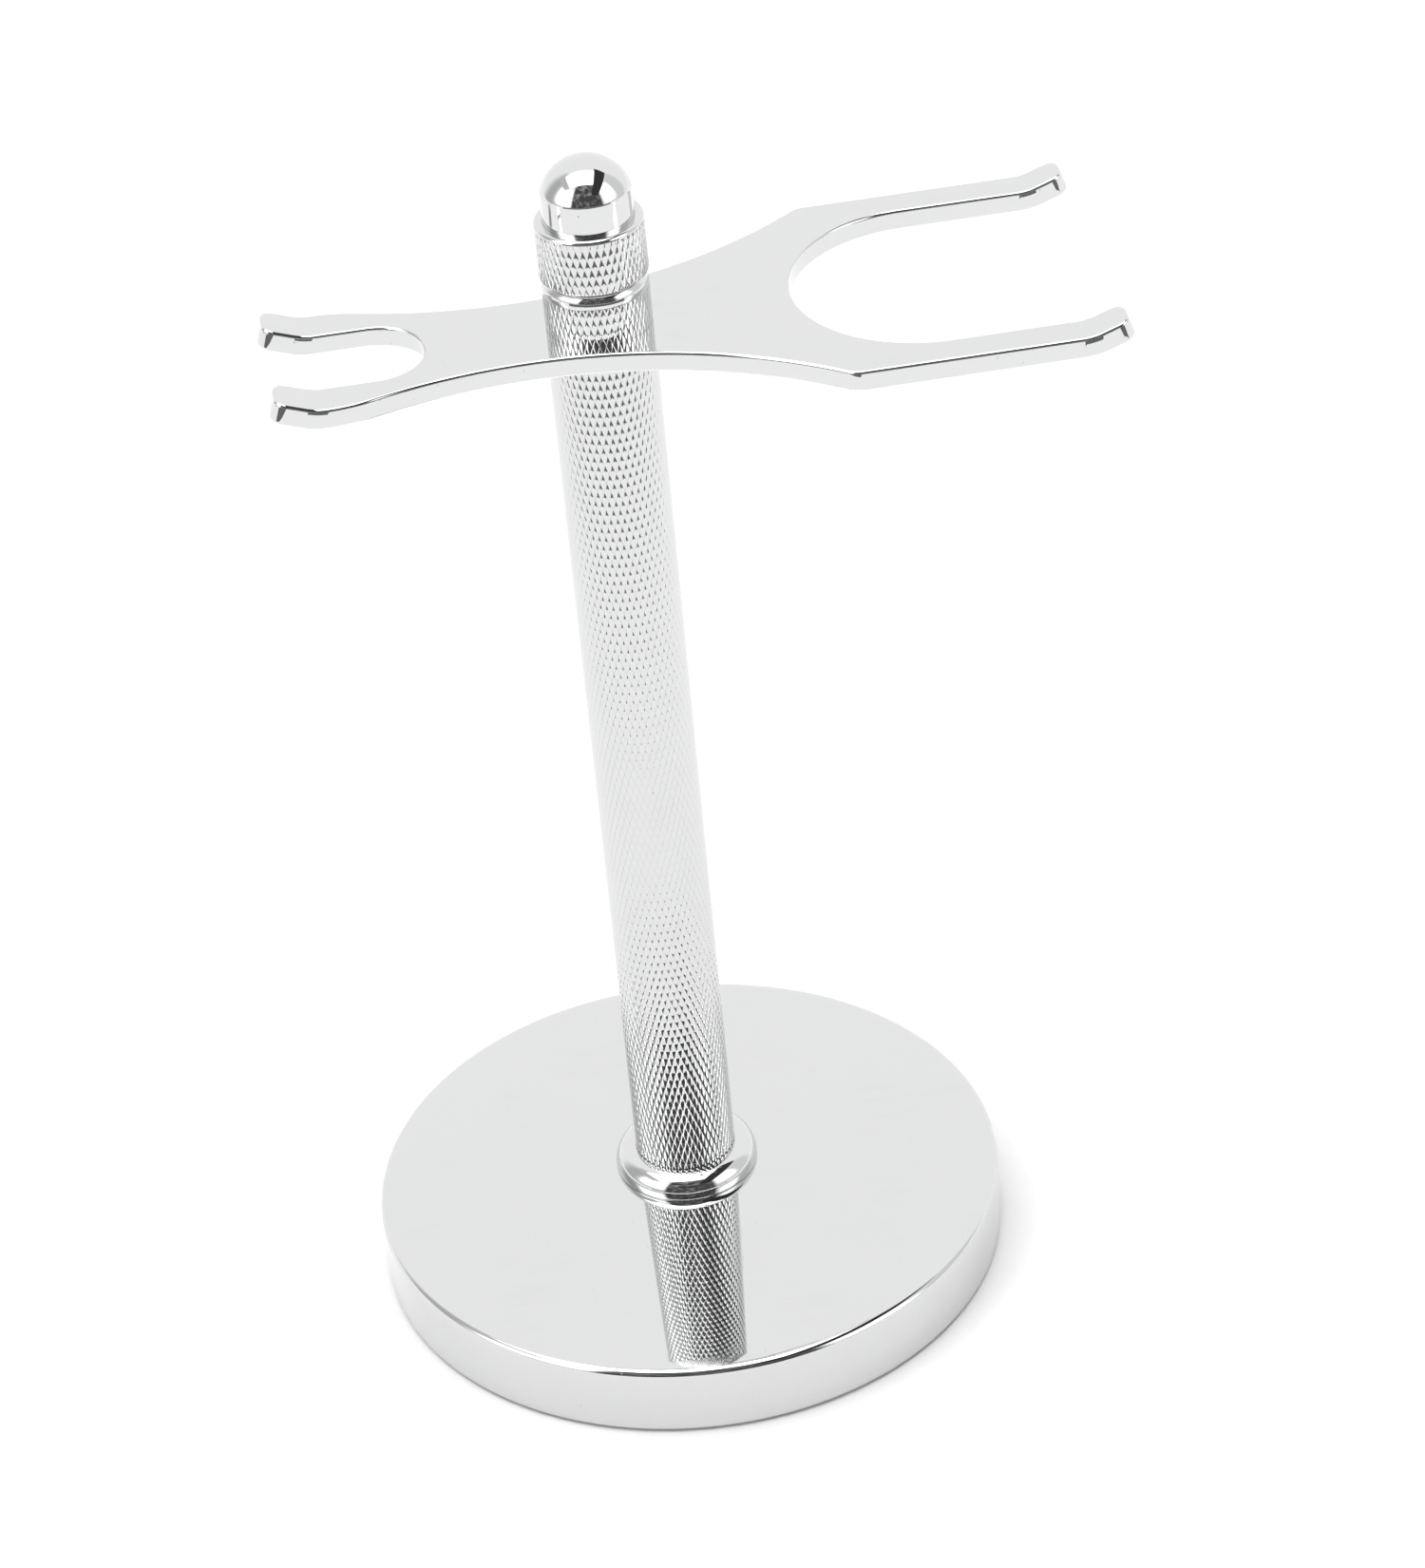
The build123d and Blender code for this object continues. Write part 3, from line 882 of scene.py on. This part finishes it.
def rollStud(sizes, material):
    radius, bottom, top = turnedSize("clamp_stud")
    pitch, root = sizes["pitch"], radius - sizes["depth"]
    rootShare, halfCrest = sizes["rootShare"], sizes["crest"] / pitch / 2
    first = bottom - sizes["spareTurns"] * pitch
    turns = ceil((top - bottom) / pitch) + sizes["spareTurns"] + 1
    bm, vert = startSection(root, first)
    shares = (rootShare, 0.5 - halfCrest, 0.5 + halfCrest, 1 - rootShare, 1)
    for share, reach in zip(shares, (root, radius, radius, root, root)):
        vert = lineTo(bm, vert, reach, first + share * pitch)
    shape = bm.verts[:] + bm.edges[:]
    steps = turns * sizes["stepsRound"]
    climb = {"dvec": (0, 0, pitch / sizes["stepsRound"]), "angle": 2 * pi * turns}
    bmesh.ops.spin(bm, geom=shape, cent=(0, 0, 0), axis=upAxis, steps=steps, **climb)
    bmesh.ops.remove_doubles(bm, verts=bm.verts[:], dist=sizes["join"])
    for height, outwards in ((bottom + sizes["tip"], -1), (top - sizes["tip"], 1)):
        cutAcross(bm, (0, 0, height), (0, 0, outwards))
        rim, rimVerts = extrudeRim(bm, openRim(bm, height))
        bmesh.ops.scale(bm, verts=rimVerts, vec=(sizes["tipTaper"], sizes["tipTaper"], 1))
        bmesh.ops.translate(bm, verts=rimVerts, vec=(0, 0, outwards * sizes["tip"]))
        bmesh.ops.contextual_create(bm, geom=rim)
    piece = finishPiece(bm, "stud", "stand", material, sizes["stiff"])
    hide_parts("clamp_stud")


# other metals: zinc-plated steel and brass, with fine turning lines

turnedLook = {
    "stain": {"scale": 420.0, "start": 0.42, "full": 0.68, "rough": 0.16},
    "lineRough": 0.03,
    "lineDepth": 0.01 * mm,
}
zincLook = {
    **turnedLook,
    "light": (0.62, 0.63, 0.65, 1),
    "dark": (0.42, 0.44, 0.47, 1),
    "roughness": 0.28,
    "lines": 9000.0,         # radians of line pattern in a metre
}
brassLook = {
    **turnedLook,
    "light": (0.80, 0.60, 0.27, 1),
    "dark": (0.52, 0.35, 0.13, 1),
    "roughness": 0.24,
    "lines": 6000.0,
}


def turnedMetal(name, look):
    material, start = newMaterial(name)
    place = start.node("TexCoord", output="Object")
    x, y, z = [start.node("SeparateXYZ", {}, {0: place}, axis) for axis in "XYZ"]
    lines = start.math("SINE", (fromAxis(x, y) + z) * look["lines"])
    stain = look["stain"]
    cloud = start.node("TexNoise", {}, {"Vector": place, "Scale": stain["scale"], "Detail": 5.0})
    stained = cloud.rise(stain["start"], stain["full"])
    colour = blend(stained, look["light"], look["dark"])
    rough = stained * stain["rough"] + lines * look["lineRough"] + look["roughness"]
    height = {"Height": lines * 0.5 + cloud * 0.5, "Strength": 0.25, "Distance": look["lineDepth"]}
    grooves = start.node("Bump", {}, height)
    surface = {"Base Color": colour, "Metallic": 1.0, "Roughness": rough, "Normal": grooves}
    shader = start.node("BsdfPrincipled", {}, surface)
    start.node("OutputMaterial", {}, {"Surface": shader})
    return material


def dressNodes(names, material):
    for name in names:
        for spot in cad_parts[name].material_slots:
            spot.material = material


zincSteel = turnedMetal("zincSteel", zincLook)
turnedBrass = turnedMetal("turnedBrass", brassLook)
rollStud(studSizes, zincSteel)
dressNodes(["base_screw", "base_lock_washer", "base_flat_washer"], zincSteel)
dressNodes(["stem_lower_plug", "stem_upper_plug"], turnedBrass)
print("razor stand: stud threaded, screw, washers and plugs finished")


# foot pad: soft rubber with a few grip rings underneath

padSizes = {
    "edge": 0.35 * mm,
    "ringDepth": 0.25 * mm,
    "ringWidth": 1.2 * mm,
    "rings": (12 * mm, 20 * mm, 28 * mm),
    "ringEdge": 0.1 * mm,
    "steps": {"round": 160, "ring": 3, "edge": 4},
}
rubberLook = {
    "dark": (0.018, 0.018, 0.019, 1),
    "worn": (0.045, 0.044, 0.043, 1),
    "roughness": 0.62,
    "wornRough": 0.2,
    "wear": {"scale": 90.0, "start": 0.45, "full": 0.75, "share": 0.6},
    "dust": {"scale": 1100.0, "start": 0.62, "full": 0.75, "share": 0.4},
    "pebble": {"scale": 1600.0, "depth": 0.06 * mm},
}


def mouldRubber(look):
    material, start = newMaterial("padRubber")
    place = start.node("TexCoord", output="Object")
    wear, dust, pebble = look["wear"], look["dust"], look["pebble"]
    cells = start.node("TexVoronoi", {}, {"Vector": place, "Scale": pebble["scale"]}, "Distance")
    cloud = start.node("TexNoise", {}, {"Vector": place, "Scale": wear["scale"], "Detail": 5.0})
    grit = start.node("TexNoise", {}, {"Vector": place, "Scale": dust["scale"], "Detail": 2.0})
    rubbed = cloud.rise(wear["start"], wear["full"]) * wear["share"]
    worn = rubbed + grit.rise(dust["start"], dust["full"]) * dust["share"]
    height = {"Height": cells, "Strength": 0.5, "Distance": pebble["depth"]}
    grain = start.node("Bump", {}, height)
    colour = blend(worn, look["dark"], look["worn"])
    rough = worn * look["wornRough"] + look["roughness"]
    surface = {"Base Color": colour, "Roughness": rough, "Normal": grain}
    shader = start.node("BsdfPrincipled", {}, surface)
    start.node("OutputMaterial", {}, {"Surface": shader})
    return material


def mouldPad(sizes, material):
    radius, bottom, top = turnedSize("base_pad")
    half, deep = sizes["ringWidth"] / 2, bottom + sizes["ringDepth"]
    steps = sizes["steps"]
    bm, vert = startSection(0, bottom)
    corners = []
    for ring in sizes["rings"]:
        for side, height in ((-1, bottom), (-1, deep), (1, deep), (1, bottom)):
            vert = lineTo(bm, vert, ring + side * half, height)
            corners.append(vert)
    foot = lineTo(bm, vert, radius, bottom)
    shoulder = lineTo(bm, foot, radius, top)
    lineTo(bm, shoulder, 0, top)
    ease(bm, corners, sizes["ringEdge"], steps["ring"])
    outer = [vert for vert in bm.verts if vert.co.x > radius - sameSpot]
    ease(bm, outer, sizes["edge"], steps["edge"])
    turnSolid(bm, steps["round"])
    piece = finishPiece(bm, "pad", "stand", material)
    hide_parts("base_pad")
    weighNormals(piece)


mouldPad(padSizes, mouldRubber(rubberLook))
print("razor stand: foot pad moulded")
